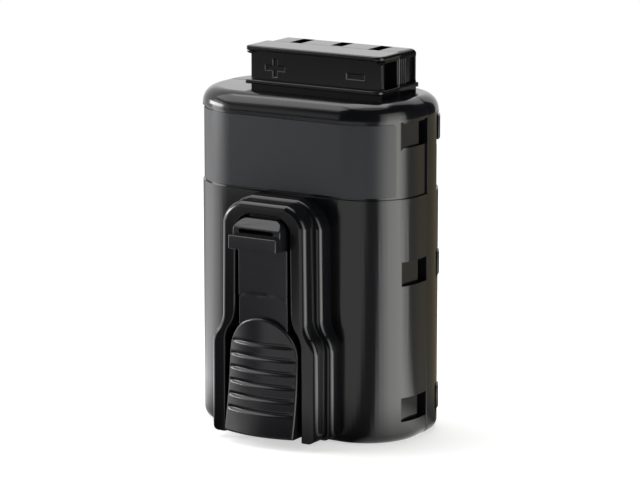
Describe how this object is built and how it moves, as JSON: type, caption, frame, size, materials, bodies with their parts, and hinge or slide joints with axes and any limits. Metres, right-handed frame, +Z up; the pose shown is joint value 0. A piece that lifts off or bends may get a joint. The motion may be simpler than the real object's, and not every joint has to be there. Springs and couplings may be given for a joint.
{
  "type": "power tool battery pack",
  "caption": "Slide-in power tool battery pack: oval snap-together housing with a slotted contact tower on top and a sprung latch lever with a ribbed thumb pad on the front.",
  "frame": {"origin": "middle of the base, on the parting plane between the front and rear shells", "axes": "+Z up towards the contact tower, -Y towards the front that carries the latch, +X towards the pack's right end as seen from the front"},
  "size_m": [0.05, 0.0406, 0.0789],
  "materials": {
    "housing_plastic": "satin black moulding",
    "latch_plastic": "satin black moulding",
    "label_film": "satin dark film",
    "spring_steel": "drawn wire",
    "can_steel": "nickel-plated",
    "gasket_plastic": "moulded",
    "sleeve_film": "shrink film",
    "strap_nickel": "rolled strip",
    "foam": "closed-cell foam",
    "card": "fibre card",
    "holder_plastic": "natural moulding",
    "board": "solder mask",
    "chip_body": "moulded",
    "resistor_body": "moulded",
    "capacitor_body": "fired ceramic body",
    "thermistor_bead": "dipped resin",
    "carrier_plastic": "moulded",
    "contact_metal": "stamped spring strip"
  },
  "bodies": {
    "pack": {"front_shell": "housing_plastic", "rear_shell": "housing_plastic", "front_label": "label_film", "latch_spring": "spring_steel", "left_cell_can": "can_steel", "left_cell_gasket": "gasket_plastic", "left_cell_cap": "can_steel", "left_cell_sleeve": "sleeve_film", "right_cell_can": "can_steel", "right_cell_gasket": "gasket_plastic", "right_cell_cap": "can_steel", "right_cell_sleeve": "sleeve_film", "base_pad": "foam", "series_strap": "strap_nickel", "positive_strap": "strap_nickel", "negative_strap": "strap_nickel", "insulating_card": "card", "lower_cell_holder": "holder_plastic", "upper_cell_holder": "holder_plastic", "circuit_board": "board", "power_transistors": "chip_body", "control_chip": "chip_body", "shunt_resistor": "resistor_body", "board_capacitors": "capacitor_body", "thermistor": "thermistor_bead", "contact_carrier": "carrier_plastic", "positive_contact": "contact_metal", "sense_contact": "contact_metal", "negative_contact": "contact_metal"},
    "latch": {"latch_lever": "latch_plastic"}
  },
  "joints": [
    {"name": "latch_pivot", "type": "hinge", "parent": "pack", "child": "latch", "pos_m": [0, -0.0192, 0.0046], "axis": [-1, 0, 0], "range_deg": [0, 6], "stiffness_Nm_per_rad": 0.3, "springref_deg": -5.73, "deforming": ["latch_spring"]}
  ]
}
